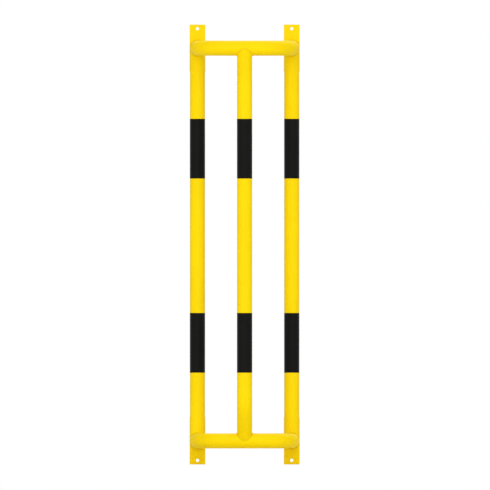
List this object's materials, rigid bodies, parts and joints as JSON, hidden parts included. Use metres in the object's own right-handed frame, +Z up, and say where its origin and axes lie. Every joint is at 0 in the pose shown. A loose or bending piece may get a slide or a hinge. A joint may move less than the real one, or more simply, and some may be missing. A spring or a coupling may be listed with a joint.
{
  "type": "pipe protection guard",
  "caption": "Wall-mounted guard of bent round steel tube that stands round a pipe: two hoops on wall plates, upright bars and a front bow, yellow with black marking bands",
  "frame": {"origin": "below the middle of the guard's width and depth, at the height of its lower end", "axes": "+Z up along the uprights, +Y to the wall, the bow faces -Y, +X to the right as seen from the front"},
  "size_m": [0.35, 0.3, 1.4],
  "materials": {
    "yellow_powder_coat": "satin",
    "black_film": "satin"
  },
  "bodies": {
    "root": {"hoop_top": "yellow_powder_coat", "bow_weld_top": "yellow_powder_coat", "wall_plate_top_left": "yellow_powder_coat", "plate_weld_top_left": "yellow_powder_coat", "post_weld_top_left": "yellow_powder_coat", "wall_plate_top_right": "yellow_powder_coat", "plate_weld_top_right": "yellow_powder_coat", "post_weld_top_right": "yellow_powder_coat", "hoop_bottom": "yellow_powder_coat", "bow_weld_bottom": "yellow_powder_coat", "wall_plate_bottom_left": "yellow_powder_coat", "plate_weld_bottom_left": "yellow_powder_coat", "post_weld_bottom_left": "yellow_powder_coat", "wall_plate_bottom_right": "yellow_powder_coat", "plate_weld_bottom_right": "yellow_powder_coat", "post_weld_bottom_right": "yellow_powder_coat", "side_post_left": "yellow_powder_coat", "side_post_right": "yellow_powder_coat", "front_bow": "yellow_powder_coat", "marking_band_upper_left": "black_film", "marking_band_upper_middle": "black_film", "marking_band_upper_right": "black_film", "marking_band_lower_left": "black_film", "marking_band_lower_middle": "black_film", "marking_band_lower_right": "black_film"}
  },
  "joints": []
}
